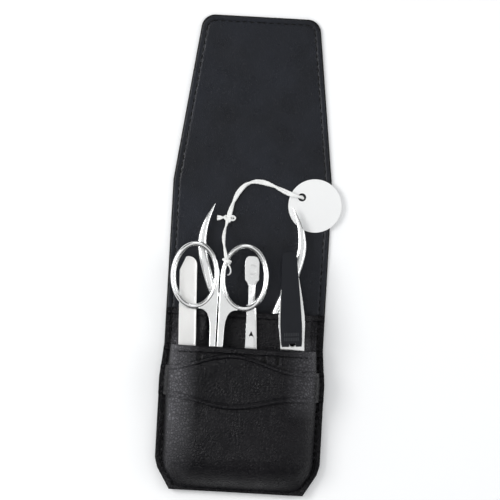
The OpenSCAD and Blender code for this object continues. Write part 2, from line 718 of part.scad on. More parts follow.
// File: round at the top with its left corner slanted, narrowing to its tang in the pocket, with a
// raised rim round both faces
file_x = 9.8 - case_w / 2;
file_top = 37;
lean = 2.2;

tang_l = 22;
face_cut = 0.12;
rim_w = 0.6;

module file_outline() {
    r = file_w / 2;
    low = file_top - file_l;
    top = [for (a = [0:15:105]) [r * cos(a), file_top - r + r * sin(a)]];
    polygon(concat([[r * 0.45, low], [r, low + tang_l]], top,
        [[-r, file_top - 1.6 * r], [-r, low + tang_l], [-r * 0.45, low]]));
}

module nail_file() {
    color("#d3d4d4") translate([file_x, y_front, z_tools]) rotate([0, 0, lean]) difference() {
        linear_extrude(file_t) file_outline();
        for (z = [file_t - face_cut, face_cut - 1])
            translate([0, 0, z]) linear_extrude(1) offset(delta = -rim_w) file_outline();
    }
}

// Pusher: a hollowed spoon on a thin neck, a flat body with a small cleaning notch, and a pointed
// cleaner at the far end
pusher_x = 3.05;
pusher_top = 38.4;
neck_half = 1.4;
hollow_r = 9.2;
hollow_deep = 0.45;
notch_top = 7.2;
notch_half = 1.3;

module pusher_notch() {
    difference() {
        polygon([[0, notch_top], [-notch_half, notch_top - 2.9], [notch_half, notch_top - 2.9]]);
        translate([0, notch_top - 3.3]) circle(r = notch_half);
    }
}

module cuticle_pusher() {
    s = spoon_w / 2;
    b = pusher_w / 2;
    flat = file_t / 2;
    // Distance from the top, half width and half height of each cross-section
    cuts = [[0, s * 0.55, 0.3], [0.8, s * 0.85, 0.4], [2.5, s, 0.5], [6, s, flat], [9.8, s * 0.98, flat],
        [10.9, s * 0.7, flat], [12.2, neck_half, flat], [20, neck_half, flat], [22.5, b - 0.5, flat],
        [30, b - 0.2, flat], [38, b, flat], [pusher_l - 30, b, flat], [pusher_l - 20, 1.7, flat],
        [pusher_l - 6, 1.3, 0.5], [pusher_l, 0.3, 0.3]];
    color("#dadbdd") translate([pusher_x, y_front, z_tools + flat]) rotate([0, 0, lean]) difference() {
        skin([for (c = cuts) [for (q = [[1, 0.4], [1, -0.4], [0.35, -1], [-1, -0.4], [-1, 0.4], [0.35, 1]])
            [q.x * c[1], pusher_top - c[0], q.y * c[2]]]]);
        translate([0, pusher_top - 5.6, flat - hollow_deep + hollow_r]) sphere(r = hollow_r, $fn = 64);
        translate([0, 0, -file_t]) linear_extrude(2 * file_t) pusher_notch();
    }
}

// Tag: a round card, with the string through its hole
tag_x = 26.6;
tag_y = y_fold - 0.6;
hole_x = 21;
hole_y = tag_y + 3.3;

module tag() {
    color("#fafafa") translate([0, 0, z_lining + rest_gap]) difference() {
        translate([tag_x, tag_y, 0]) cylinder(r = tag_d / 2, h = tag_t);
        translate([hole_x, hole_y, -1]) cylinder(r = tag_hole_d / 2, h = 3);
    }
}

// The string's route: from the loop on the scissors' ring, through the knot, round to the tag's hole
string_route = [[-9.2, -2.4, 14], [-9.8, 0.4, 13.7], [-10.4, 3.2, 12], [-10.8, 6, 9.2], [-10.7, 8.6, 6.4],
    [-10.2, 11.4, 4.2], [-9.4, 14.6, 3.1], [-8.6, 18.2, 2.6], [-7.4, 22.2, 2.5], [-5.6, 26, 2.5],
    [-3, 29, 2.5], [0.6, 30.6, 2.5], [4.6, 30.5, 2.5], [9, 29.2, 2.5], [13, 27.5, 2.6], [16, 26.3, 3.1],
    [18.4, 25.6, 3.5], [20.1, 25.3, 3.2], [21.4, 25.1, 2.3]];

module tag_string() {
    color("#f4f4f2") tube(smooth(string_route, 3), string_d / 2, 8);
}

// Hitch of the string round the wire of the right ring
module string_loop() {
    a = 150;
    along = atan2(-ring_b * cos(a), ring_a * sin(a));
    color("#f4f4f2")
        translate([scissor_x + ring_cx + ring_a * cos(a), scissor_y + ring_rise + ring_b * sin(a), z_ring])
        rotate([0, 0, along - 90]) rotate([90, 0, 0])
        rotate_extrude($fn = 40) translate([ring_wire / 2 + 1.1, 0]) circle(r = string_d * 0.38, $fn = 16);
}

module string_knot() {
    at = string_route[6];
    color("#f2f2f0") {
        translate(at) rotate([0, 0, 12]) intersection() {
            sphere(r = 2.2, $fn = 32);
            translate([-2.2, -1.6, -1.4]) cube([4.4, 3.2, 2.9]);
        }
        tail = [[-1.4, 0, 0], [-2.4, 0.1, -0.1], [-3.6, 0.1, -0.4], [-4.6, 0, -0.5]];
        tube([for (p = tail) at + p], 0.7, 8);
    }
}

back_leather();
back_lining();
spine_leather();
spine_lining();
flap_leather();
flap_lining();
rear_pocket();
front_pocket();
closing_band();
scissor_half_right();
scissor_half_left();
scissor_screw();
nipper_half_left();
nipper_half_right();
nipper_rivet();
leaf_spring_left();
leaf_spring_right();
spring_screw_left();
spring_screw_right();
clipper_lower_arm();
clipper_upper_arm();
clipper_tail_rivet();
clipper_pin();
clipper_lever();
lever_cover();
nail_file();
cuticle_pusher();
tag();
tag_string();
string_loop();
string_knot();
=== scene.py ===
from math import atan2, cos, exp, pi, radians, sin, sqrt

import bmesh
import bpy
from mathutils import Matrix, Vector, noise


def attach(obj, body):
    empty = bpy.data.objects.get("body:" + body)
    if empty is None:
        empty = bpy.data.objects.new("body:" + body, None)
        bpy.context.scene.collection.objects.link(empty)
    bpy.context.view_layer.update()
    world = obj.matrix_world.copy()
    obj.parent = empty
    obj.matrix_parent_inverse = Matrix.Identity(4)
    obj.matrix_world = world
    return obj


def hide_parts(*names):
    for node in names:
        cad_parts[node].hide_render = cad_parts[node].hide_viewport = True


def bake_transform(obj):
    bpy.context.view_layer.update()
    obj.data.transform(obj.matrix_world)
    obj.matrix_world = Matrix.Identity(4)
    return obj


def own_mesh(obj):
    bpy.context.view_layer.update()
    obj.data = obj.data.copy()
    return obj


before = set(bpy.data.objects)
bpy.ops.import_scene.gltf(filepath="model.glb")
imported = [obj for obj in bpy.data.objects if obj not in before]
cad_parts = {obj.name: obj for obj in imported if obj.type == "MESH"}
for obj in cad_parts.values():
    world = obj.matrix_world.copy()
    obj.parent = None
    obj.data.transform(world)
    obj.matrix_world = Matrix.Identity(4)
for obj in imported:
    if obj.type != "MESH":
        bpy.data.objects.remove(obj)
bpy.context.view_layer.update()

# The studio. The opened case lies on a white table inside a white light tent, and is seen from
# straight above, rolled a little clockwise. Pieces are modelled in millimetres and placed in metres.
MM = 0.001
WHITE = (1, 1, 1, 1)
# Width and middle of what the picture shows, and the camera's roll, height and film width
VIEW_W = 210.3 * MM
VIEW_AT = (0.4 * MM, 1.93 * MM)
VIEW_ROLL = radians(3.2)
CAMERA_H = 1.2
SENSOR = 36

scene = bpy.context.scene
scene.view_settings.view_transform = "Standard"
camera = bpy.data.objects.new("camera", bpy.data.cameras.new("camera"))
camera.data.sensor_fit = "HORIZONTAL"
camera.data.sensor_width = SENSOR
camera.data.lens = SENSOR * CAMERA_H / VIEW_W
camera.data.clip_end = 20
camera.location = (*VIEW_AT, CAMERA_H)
camera.rotation_euler = (0, 0, VIEW_ROLL)
scene.collection.objects.link(camera)
scene.camera = camera

TENT_TONE = (0.97, 0.985, 1, 1)
TENT_LIGHT = 0.73
world = bpy.data.worlds.new("tent")
world.use_nodes = True
scene.world = world
tent = world.node_tree
lit = tent.nodes["Background"]
lit.inputs["Color"].default_value = TENT_TONE
lit.inputs["Strength"].default_value = TENT_LIGHT
# Shiny surfaces see white overhead, dark low down, and soft boxes on the left, right and far side.
# Each glow has its direction, the cosines to it where it starts and is full, and both strengths.
GLOWS = (((0, 0, 1), 0.78, 0.96, 0.1, 0.88), ((-0.82, 0.06, 0.56), 0.91, 0.97, 0, 7),
         ((0.8, 0, 0.6), 0.94, 0.98, 0, 3), ((0, 0.8, 0.6), 0.93, 0.98, 0, 2))
seen = tent.nodes.new("ShaderNodeBackground")
seen.inputs["Color"].default_value = WHITE
direction = tent.nodes.new("ShaderNodeTexCoord")
brightness = None
for towards, *values in GLOWS:
    facing = tent.nodes.new("ShaderNodeVectorMath")
    facing.operation = "DOT_PRODUCT"
    tent.links.new(direction.outputs["Generated"], facing.inputs[0])
    facing.inputs[1].default_value = Vector(towards).normalized()
    glow = tent.nodes.new("ShaderNodeMapRange")
    glow.interpolation_type = "SMOOTHSTEP"
    for socket, value in zip(("From Min", "From Max", "To Min", "To Max"), values):
        glow.inputs[socket].default_value = value
    tent.links.new(facing.outputs["Value"], glow.inputs["Value"])
    if brightness is None:
        brightness = glow.outputs[0]
    else:
        added = tent.nodes.new("ShaderNodeMath")
        tent.links.new(brightness, added.inputs[0])
        tent.links.new(glow.outputs[0], added.inputs[1])
        brightness = added.outputs[0]
tent.links.new(brightness, seen.inputs["Strength"])
# The camera sees plain white
backdrop = tent.nodes.new("ShaderNodeBackground")
backdrop.inputs["Color"].default_value = WHITE
path = tent.nodes.new("ShaderNodeLightPath")
shown = lit.outputs[0]
for ray, ground in (("Is Glossy Ray", seen), ("Is Camera Ray", backdrop)):
    choice = tent.nodes.new("ShaderNodeMixShader")
    tent.links.new(path.outputs[ray], choice.inputs[0])
    tent.links.new(shown, choice.inputs[1])
    tent.links.new(ground.outputs[0], choice.inputs[2])
    shown = choice.outputs[0]
tent.links.new(shown, tent.nodes["World Output"].inputs["Surface"])

# Lamps: the main one stands to the left and a weaker one to the right, both square soft boxes
LAMP_SIZE = 0.3
for name, place, power in (("left_lamp", (-0.5, 0.1, 0.5), 2.2), ("right_lamp", (0.55, 0.1, 0.4), 0.7)):
    lamp = bpy.data.objects.new(name, bpy.data.lights.new(name, "AREA"))
    lamp.data.energy = power
    lamp.data.size = LAMP_SIZE
    lamp.location = place
    lamp.rotation_euler = (-Vector(place)).to_track_quat("-Z", "Y").to_euler()
    scene.collection.objects.link(lamp)


def new_material(name, colour, roughness, metallic=0, specular=0.5):
    made = bpy.data.materials.new(name)
    made.use_nodes = True
    shader = made.node_tree.nodes["Principled BSDF"]
    shader.inputs["Base Color"].default_value = (*colour, 1)
    shader.inputs["Roughness"].default_value = roughness
    shader.inputs["Metallic"].default_value = metallic
    shader.inputs["Specular IOR Level"].default_value = specular
    return made, made.node_tree, shader


# The table top lies just under the stitches of the case's underside
TABLE_HALF = 1.5
TABLE_Z = -0.12 * MM
part = bmesh.new()
bmesh.ops.create_grid(part, x_segments=1, y_segments=1, size=TABLE_HALF)
bmesh.ops.translate(part, verts=part.verts, vec=(0, 0, TABLE_Z))
table_mesh = bpy.data.meshes.new("table_top")
part.to_mesh(table_mesh)
part.free()
table_top = bpy.data.objects.new("table_top", table_mesh)
scene.collection.objects.link(table_top)
table_mesh.materials.append(new_material("white_table", (0.97, 0.97, 0.97), 0.8, specular=0.1)[0])


# Outer leather and lining. One long blank of black cowhide, lined with thin smooth leather a little
# bluer; both are cut together, sewn round the edge and painted there. It bends at two folds, so
# it is split in the middle of the spine, where it never bends.
CASE_L = 200
CORNER_R = 5
# Heights above the bottom edge, with half of the case's width there
EDGE = ((0, 28.2), (9, 33.6), (13, 34.7), (47, 34.7), (61, 33.4), (130, 33.4), (CASE_L, 24.5))
LEATHER_T = 1
LINING_T = 0.6
LINING_INSET = 0.6
Y_LOW = -CASE_L / 2
Y_FOLD = 22.5
Y_FLAP = 38.55
Y_SPLIT = (Y_FOLD + Y_FLAP) / 2
Z_LINING = LEATHER_T + LINING_T
SEWN_IN = 2.5
# Half of the length over which a fold bends, and the number of cuts across it
BEND_L = 5
BEND_CUTS = 17
# Share of a sheet's thickness that its edges are rounded by
EDGE_EASE = 0.35
# The sewn groove's walls, floor and flat surroundings, as widths and changes of height
GROOVE_HALF = 0.45
GROOVE = ((0.4, -0.2), (0.1, 0), (0.5, 0.2), (0.6, 0))


def between(v, table):
    """Value at v of a table of points joined by straight lines."""
    for (v0, a), (v1, b) in zip(table, table[1:]):
        if v <= v1:
            return a + (b - a) * max(0, v - v0) / (v1 - v0)
    return table[-1][1]


def case_half(v):
    """Half of the case's width at height v above the bottom edge."""
    d = max(0, v - CASE_L + CORNER_R)
    return between(v, EDGE) - CORNER_R + sqrt(max(0, CORNER_R * CORNER_R - d * d))


def texture(tree, kind, scale, detail=2, where=None, **settings):
    """A procedural texture node, on the piece's own coordinates unless where is given."""
    node = tree.nodes.new("ShaderNodeTex" + kind)
    for key, value in settings.items():
        setattr(node, key, value)
    node.inputs["Scale"].default_value = scale
    if "Detail" in node.inputs:
        node.inputs["Detail"].default_value = detail
    if where is None:
        where = tree.nodes.new("ShaderNodeTexCoord").outputs["Object"]
    tree.links.new(where, node.inputs["Vector"])
    return node


def remap(tree, value, low, high, to_low, to_high):
    """The value with low to high stretched over to_low to to_high, and held there outside."""
    node = tree.nodes.new("ShaderNodeMapRange")
    for key, number in (("From Min", low), ("From Max", high), ("To Min", to_low), ("To Max", to_high)):
        node.inputs[key].default_value = number
    tree.links.new(value, node.inputs["Value"])
    return node.outputs["Result"]


def blend_colours(tree, share, first, second):
    """The first colour where the share is 0 and the second where it is 1."""
    node = tree.nodes.new("ShaderNodeMix")
    node.data_type = "RGBA"
    tree.links.new(share, node.inputs["Factor"])
    node.inputs["A"].default_value = (*first, 1)
    node.inputs["B"].default_value = (*second, 1)
    return node.outputs["Result"]


def product(tree, *values):
    """The values multiplied together."""
    made = values[0]
    for value in values[1:]:
        node = tree.nodes.new("ShaderNodeMath")
        node.operation = "MULTIPLY"
        tree.links.new(made, node.inputs[0])
        tree.links.new(value, node.inputs[1])
        made = node.outputs[0]
    return made


def total(tree, a, b, share):
    """a plus a share of b."""
    node = tree.nodes.new("ShaderNodeMath")
    node.operation = "MULTIPLY_ADD"
    tree.links.new(b, node.inputs[0])
    node.inputs[1].default_value = share
    tree.links.new(a, node.inputs[2])
    return node.outputs[0]


def bump(tree, shader, value, depth, strength=1):
    node = tree.nodes.new("ShaderNodeBump")
    node.inputs["Strength"].default_value = strength
    node.inputs["Distance"].default_value = depth
    tree.links.new(value, node.inputs["Height"])
    tree.links.new(node.outputs[0], shader.inputs["Normal"])


# Tone of a painted highlight on the pocket leather's rounded sides and the band's ends
PAINTED_HIGHLIGHT_TONE = (0.29, 0.286, 0.31)
# How far the grain's pebbles are pushed out of round, how much of them the creases take, and the
# shares of pores and of slow sagging in the relief
PEBBLE_WARP = 1.1 * MM
CREASE_W = 0.42
PORE_SHARE = 0.35
SAG_SHARE = 2.5


def leather(name, dark, pale, pebble, depth, gloss, specular, highlight_mask=None):
    """Grained hide: pebbles with creases between them, fine pores, slow changes of tone and gloss.

    pebble is a grain's width and depth its relief. The optional mask function gives the share of a painted
    highlight tone, laid where light would catch the grain.
    """
    made, tree, shader = new_material(name, dark, gloss, specular=specular)
    place = tree.nodes.new("ShaderNodeTexCoord").outputs["Object"]
    wander = texture(tree, "Noise", 260, 2, place)
    bent = tree.nodes.new("ShaderNodeVectorMath")
    bent.operation = "MULTIPLY_ADD"
    tree.links.new(wander.outputs["Color"], bent.inputs[0])
    bent.inputs[1].default_value = (PEBBLE_WARP,) * 3
    tree.links.new(place, bent.inputs[2])
    cells = texture(tree, "Voronoi", 1 / pebble, where=bent.outputs[0], feature="DISTANCE_TO_EDGE")
    pebbles = remap(tree, cells.outputs["Distance"], 0, CREASE_W, 0, 1)
    pores = texture(tree, "Noise", 3.5 / pebble, 3, place)
    sag = texture(tree, "Noise", 55, 2, place)
    height = total(tree, pebbles, pores.outputs["Fac"], PORE_SHARE)
    bump(tree, shader, total(tree, height, sag.outputs["Fac"], SAG_SHARE), depth)
    # The tone wanders slowly, and the creases between the pebbles are painted a little darker, as shade
    tone = texture(tree, "Noise", 38, 4, place)
    share = remap(tree, total(tree, tone.outputs["Fac"], pebbles, 0.08), 0.38, 0.72, 0, 1)
    tree.links.new(blend_colours(tree, share, dark, pale), shader.inputs["Base Color"])
    # Painted highlight: where the mask asks, the colour is blended towards a pale tone
    if highlight_mask:
        paler = blend_colours(tree, highlight_mask(tree, place, pebbles), dark, PAINTED_HIGHLIGHT_TONE)
        tree.links.new(shader.inputs["Base Color"].links[0].from_socket, paler.node.inputs["A"])
        tree.links.new(paler, shader.inputs["Base Color"])
    polish = texture(tree, "Noise", 120, 3, place)
    tree.links.new(remap(tree, polish.outputs["Fac"], 0.3, 0.7, gloss - 0.06, gloss + 0.08),
                   shader.inputs["Roughness"])
    return made


def piece(name, part, material, body=None, stands_for=(), sharp=40):
    """Places a part modelled in millimetres in the frame, as a named piece of the object."""
    bmesh.ops.scale(part, vec=(MM, MM, MM), verts=part.verts)
    mesh = bpy.data.meshes.new(name)
    part.to_mesh(mesh)
    part.free()
    mesh.shade_smooth()
    mesh.set_sharp_from_angle(angle=radians(sharp))
    mesh.materials.append(material)
    made = bpy.data.objects.new(name, mesh)
    scene.collection.objects.link(made)
    if body:
        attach(made, body)
    if stands_for:
        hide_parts(*stands_for)
    return made


def everything(part):
    return part.verts[:] + part.edges[:] + part.faces[:]


def case_blank(inset, z0, z1, sewn_up):
    """The whole blank as a flat sheet with rounded edges and a sewn groove on one face."""
    heights = [v for v, _ in EDGE[:-1]]
    heights[0] = inset
    heights += [CASE_L - CORNER_R + (CORNER_R - inset) * sin(radians(a)) for a in range(0, 91, 9)]
    part = bmesh.new()
    right = [(case_half(min(v + inset * (v > CASE_L - CORNER_R), CASE_L)) - inset, Y_LOW + v)
             for v in heights]
    rim = right + [(-x, y) for x, y in reversed(right)]
    sheet = part.faces.new([part.verts.new((x, y, z1 if sewn_up else z0)) for x, y in rim])
    thick = bmesh.ops.extrude_face_region(part, geom=[sheet], use_keep_orig=True)
    moved = [g for g in thick["geom"] if isinstance(g, bmesh.types.BMVert)]
    bmesh.ops.translate(part, verts=moved, vec=(0, 0, z0 - z1 if sewn_up else z1 - z0))
    bmesh.ops.recalc_face_normals(part, faces=part.faces)
    rims = [e for e in part.edges if e.calc_face_angle(0) > radians(80)
            and abs(e.verts[0].co.z - e.verts[1].co.z) < 0.01]
    ease = (z1 - z0) * EDGE_EASE
    bmesh.ops.bevel(part, geom=rims, offset=ease, segments=3, profile=0.5, affect="EDGES", material=-1)
    faces = [f for f in part.faces if f.normal.z * (1 if sewn_up else -1) > 0.99]
    face = max(faces, key=lambda f: f.calc_area())
    for thickness, depth in ((SEWN_IN - inset - ease - GROOVE_HALF, 0), *GROOVE):
        bmesh.ops.inset_region(part, faces=[face], thickness=thickness, depth=depth, use_even_offset=True)
    for fold in (Y_FOLD, Y_FLAP):
        for i in range(BEND_CUTS):
            y = fold + BEND_L * (2 * i / (BEND_CUTS - 1) - 1)
            bmesh.ops.bisect_plane(part, geom=everything(part), plane_co=(0, y, 0), plane_no=(0, 1, 0))
    return part


def bend(made):
    """Bakes a piece's placing into its mesh."""
    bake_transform(made)


def sew_in_two(name, part, material, lower_nodes, upper_nodes):
    """Splits a part at the middle of the spine, and makes each half a piece of its own."""
    upper = part.copy()
    for half, side in ((part, 1), (upper, -1)):
        bmesh.ops.bisect_plane(half, geom=everything(half), plane_co=(0, Y_SPLIT, 0),
                               plane_no=(0, side, 0), clear_outer=True)
        bmesh.ops.holes_fill(half, edges=half.edges)
    bend(piece(name + "_lower", part, material, stands_for=lower_nodes))
    bend(piece(name + "_upper", upper, material, stands_for=upper_nodes))


outer_leather = leather("outer_leather", (0.002, 0.002, 0.002), (0.006, 0.006, 0.007),
                        pebble=1.1 * MM, depth=0.2 * MM, gloss=0.36, specular=0.14)
lining_leather = leather("lining_leather", (0.005, 0.006, 0.009), (0.01, 0.012, 0.018),
                         pebble=0.8 * MM, depth=0.1 * MM, gloss=0.3, specular=0.23)
sew_in_two("outer_leather", case_blank(0, 0, LEATHER_T, False), outer_leather,
           ("back_leather",), ("spine_leather", "flap_leather"))
sew_in_two("lining", case_blank(LINING_INSET, LEATHER_T, Z_LINING, True), lining_leather,
           ("back_lining",), ("spine_lining", "flap_lining"))


# Pockets. Two panels of grained leather, sewn along both sides and the bottom, with a folded hem at
# the mouth. The tools push them out, and three short bar tacks part the front one into slots.
SEAM_W = 2.9
HEM_H = 2.6
# Height at which the panels leave the bottom seam, and the length over which they swell
SWELL_FROM = 1.5
SWELL_L = 16
REAR = {"mouth": 76, "base": Z_LINING, "depth": 6.1, "narrow": 2.3, "t": 0.8}
FRONT = {"mouth": 61, "base": Z_LINING + 0.8, "depth": 11.65, "narrow": 0, "t": 1.0}
TACKS = (-18.1, 9.1, 14.6)
TACK_DROP = 2.2
# Seeds of the two panels' hollows, and place and size of the ridge that the nippers' handle makes
FRONT_SEED, REAR_SEED = 2.3, 7.7
RIDGE_X, RIDGE_W, RIDGE_H = -16.8, 1.7, 1.4
# Columns and rows of a panel's grid, and the strip under the mouth where the rows stand closer
PANEL_GRID = (190, 125)
FINE_H = 9
COARSE_ROWS = 0.65
# Share of the columns that lie on the swollen part
SWOLLEN_COLUMNS = 0.9


def swell(v):
    """Share of its depth that a pocket has at height v above the bottom edge."""
    s = min(1, max(0, (v - SWELL_FROM) / SWELL_L))
    return (1 - (1 - s) ** 2.5) ** 0.8


def crown(f, v):
    """Share of its depth across a pocket: round low down, and squarer where the tools fill it."""
    power = 3 + 2 * step(v - 38, 30)
    return max(0, 1 - abs(f) ** power) ** (1.25 / power)


def hump(x, width):
    return exp(-(x / width) ** 2)


def step(x, width):
    """Rises smoothly from 0 to 1 over width, centred on x = 0."""
    t = min(1, max(0, x / width + 0.5))
    return t * t * (3 - 2 * t)


def waves(x, v, seed):
    """Soft hollows of worn leather, which fade towards the seams and the bottom."""
    fade = step(case_half(v) - SEAM_W - 3 - abs(x), 6) * step(v - 9, 10)
    broad, fine = noise.noise((x / 13, v / 19, seed)), noise.noise((x / 5, v / 9, seed + 5))
    return fade * (0.45 * broad + 0.12 * fine)


def hem(v, mouth):
    """Folded hem: a thicker strip under the mouth, sewn down along its lower edge, with a round lip."""
    down = mouth - v
    strip, crease = step(HEM_H - down, 0.45), hump(down - HEM_H - 0.15, 0.3)
    lip = max(0, 1 - down / 0.8) ** 2
    return 0.3 * strip - 0.3 * crease - 0.5 * lip


def tack_relief(x, v):
    """Dents of the bar tacks, with the leather gathered up beside them."""
    down = FRONT["mouth"] - v
    near = exp(-((down - HEM_H - TACK_DROP) / 2.1) ** 4)
    dents = sum(hump(x - tack, 0.6) for tack in TACKS)
    puckers = sum(hump(abs(x - tack) - 1.3, 0.6) for tack in TACKS)
    between_tacks = step(x - TACKS[0], 1.2) * step(TACKS[1] - x, 1.2)
    return near * (0.22 * puckers - 0.7 * dents) + 0.15 * between_tacks * step(down - HEM_H, 0.6) * near


def front_relief(x, v):
    return waves(x, v, FRONT_SEED) + hem(v, FRONT["mouth"]) + tack_relief(x, v)


def rear_relief(x, v):
    """The nippers' handle pushes out a ridge beside the scissors' shank."""
    ridge = RIDGE_H * hump(x - RIDGE_X, RIDGE_W) * step(v - 64, 8)
    return 0.6 * waves(x, v, REAR_SEED) + hem(v, REAR["mouth"]) + ridge


STITCH_L = 2.3
STITCH_GAP = 0.75
FIRST_STITCH = 1.2
# Depth, half width and half length of the dent round a stitch of the edge seam
DENT_DEPTH, DENT_W, DENT_L = 0.4, 0.5, 1.05


def outline_walk(spacing):
    """Places along the right side, from the bottom chamfer to the middle of the flap's end."""
    side = [(case_half(v / 4), v / 4) for v in range(0, 4 * CASE_L + 1)]
    course = side + [(x, CASE_L) for x in (18, 12, 6, 0)]
    marks, due = [], FIRST_STITCH
    for (x0, v0), (x1, v1) in zip(course, course[1:]):
        run = sqrt((x1 - x0) ** 2 + (v1 - v0) ** 2)
        while due < run:
            t = due / run
            ux, uv = (x1 - x0) / run, (v1 - v0) / run
            marks.append((x0 + (x1 - x0) * t - uv * SEWN_IN, v0 + (v1 - v0) * t + ux * SEWN_IN,
                          atan2(uv, ux)))
            due += spacing
        due -= run
    return marks


SEWN = [(x, v, cos(a), sin(a)) for x, v, a in outline_walk(STITCH_L + STITCH_GAP) if v < 80]


def sewn_dent(x, v):
    """Dent that each stitch of the edge seam pulls into the leather round it."""
    x = abs(x)
    if x < case_half(v) - 2 * SEWN_IN - 2 and v > 2 * SEWN_IN:
        return 0
    near = [(x - sx, v - sv, ux, uv) for sx, sv, ux, uv in SEWN if abs(x - sx) < 3 and abs(v - sv) < 3]
    return -DENT_DEPTH * sum(exp(-((uv * dx - ux * dv) / DENT_W) ** 2 - ((ux * dx + uv * dv) / DENT_L) ** 4)
                             for dx, dv, ux, uv in near)


def panel_height(pocket, relief, x, v, off):
    """Height of a pocket's face, lying off beyond the panel's inner side."""
    half = case_half(v) - SEAM_W - pocket["narrow"]
    swollen = (pocket["depth"] * swell(v) + off) * crown(min(1, abs(x) / half), v)
    return pocket["base"] + max(off, swollen) + relief(x, v) + sewn_dent(x, v)


def spread_out(u, swollen_half, full_half):
    """Place across the panel of grid column u: closer together on the shoulders, flat on the seams."""
    if abs(u) <= SWOLLEN_COLUMNS:
        return swollen_half * sin(u / SWOLLEN_COLUMNS * pi / 2)
    seam_share = (abs(u) - SWOLLEN_COLUMNS) / (1 - SWOLLEN_COLUMNS)
    return (1 if u > 0 else -1) * (swollen_half + (full_half - swollen_half) * seam_share)


def row_height(t, mouth):
    """Height of grid row t, 0 to 1: the rows stand closer together under the mouth."""
    if t < COARSE_ROWS:
        return (mouth - FINE_H) * t / COARSE_ROWS
    return mouth - FINE_H * (1 - t) / (1 - COARSE_ROWS)


def panel(pocket, relief):
    part = bmesh.new()
    bmesh.ops.create_grid(part, x_segments=PANEL_GRID[0], y_segments=PANEL_GRID[1], size=1)
    for vert in part.verts:
        v = row_height((vert.co.y + 1) / 2, pocket["mouth"])
        x = spread_out(vert.co.x, case_half(v) - SEAM_W - pocket["narrow"], case_half(v) - 0.1)
        vert.co = (x, Y_LOW + v, panel_height(pocket, relief, x, v, pocket["t"]))
    return part


def thicken(made, thickness):
    """Gives a sheet its thickness on the inner side."""
    wall = made.modifiers.new("thickness", "SOLIDIFY")
    wall.thickness = thickness * MM
    wall.offset = -1
    wall.use_even_offset = True
    wall.use_quality_normals = True


def along_axis(tree, place, axis, low, high, to_low, to_high):
    """A ramp along one of the piece's own axes, from low to high in millimetres."""
    axes = tree.nodes.new("ShaderNodeSeparateXYZ")
    tree.links.new(place, axes.inputs[0])
    return remap(tree, axes.outputs[axis], low * MM, high * MM, to_low, to_high)


def painted_shoulder_highlights(tree, place, pebbles):
    """Where a highlight is painted pale on the grain: the rounded sides, most of all the left one, which
    faces the main lamp, and the band's ends, strongest on the pebbles' tops.
    """
    mirrored = tree.nodes.new("ShaderNodeVectorMath")
    mirrored.operation = "ABSOLUTE"
    tree.links.new(place, mirrored.inputs[0])
    inside = along_axis(tree, mirrored.outputs[0], "X", 18, 28, 0, 1)
    outside = along_axis(tree, mirrored.outputs[0], "X", 29.5, 31, 1, 0)
    left = along_axis(tree, place, "X", -4, 4, 1, 0)
    right = along_axis(tree, place, "X", -4, 4, 0, 1)
    low = along_axis(tree, place, "Y", -94, -70, 0.12, 1)
    band_end = along_axis(tree, place, "Y", -68, -60, 0.05, 0.7)
    front = along_axis(tree, place, "Y", -38, -33, 1, 0.2)
    side = total(tree, product(tree, left, low), product(tree, right, band_end), 1)
    tops = remap(tree, pebbles, 0.1, 0.9, 0.15, 1)
    patchy = remap(tree, texture(tree, "Noise", 90, 3, place).outputs["Fac"], 0.3, 0.7, 0.7, 1)
    return product(tree, inside, outside, side, front, tops, patchy)


# The pocket leather carries a painted highlight on its rounded sides, strongest on the left
pocket_leather = leather("pocket_leather", (0.002, 0.002, 0.003), (0.007, 0.0065, 0.008), pebble=1.25 * MM,
                         depth=0.36 * MM, gloss=0.29, specular=0.13, highlight_mask=painted_shoulder_highlights)
for name, node, pocket, relief in (("rear_pocket_panel", "rear_pocket", REAR, rear_relief),
                                   ("front_pocket_panel", "front_pocket", FRONT, front_relief)):
    thicken(piece(name, panel(pocket, relief), pocket_leather, "case", (node,), sharp=180),
            pocket["t"])


# Closing band. A strap of the same leather across the front pocket, wide in the middle and drawn in
# to its sewn ends on a smooth wave, with a creased border along both edges. Its face is left bare.
BAND_T = 0.9
BAND_SHIFT = 4
BAND_REACH = 27
# Heights of the two edges above the bottom edge, at the widest place and at the ends
BAND_TOP = (58.3, 52.15)
BAND_LOW = (35.3, 39.75)
BORDER_W = 1.7
BAND_GRID = (150, 70)
BAND_LIFT = FRONT["t"] + 0.2 + BAND_T
CASE_HALF = 33.4
SWOLLEN_HALF = CASE_HALF - SEAM_W


def band_edge(x, mid_end):
    """Height of an edge of the band at x: one smooth wave."""
    middle, end = mid_end
    return middle + (end - middle) * (1 - cos(pi * min(1, abs(x + BAND_SHIFT) / BAND_REACH))) / 2


def band_relief(down, up):
    """Raised border with a crease inside it, and a cut edge with a round corner."""
    d = min(down, up)
    border, crease = step(BORDER_W - d, 0.45), hump(d - BORDER_W - 0.15, 0.28)
    corner = max(0, 1 - d / 0.6) ** 2
    return 0.32 * border - 0.3 * crease - 0.45 * corner


part = bmesh.new()
bmesh.ops.create_grid(part, x_segments=BAND_GRID[0], y_segments=BAND_GRID[1], size=1)
for vert in part.verts:
    across, q = vert.co.x, (1 + sin(vert.co.y * pi / 2)) / 2
    x = spread_out(across, SWOLLEN_HALF, CASE_HALF)
    low, top = band_edge(x, BAND_LOW), band_edge(x, BAND_TOP)
    v = low + (top - low) * q
    x = spread_out(across, case_half(v) - SEAM_W + BAND_T, case_half(v))
    half = case_half(v) - SEAM_W + BAND_T
    swollen = (FRONT["depth"] * swell(v) + BAND_LIFT) * crown(min(1, abs(x) / half), v)
    z = FRONT["base"] + max(FRONT["t"] + BAND_T, swollen) + waves(x, v, FRONT_SEED)
    vert.co = (x, Y_LOW + v, z + band_relief(v - low, top - v) + sewn_dent(x, v))
thicken(piece("band", part, pocket_leather, "case", ("closing_band",), sharp=180), BAND_T)


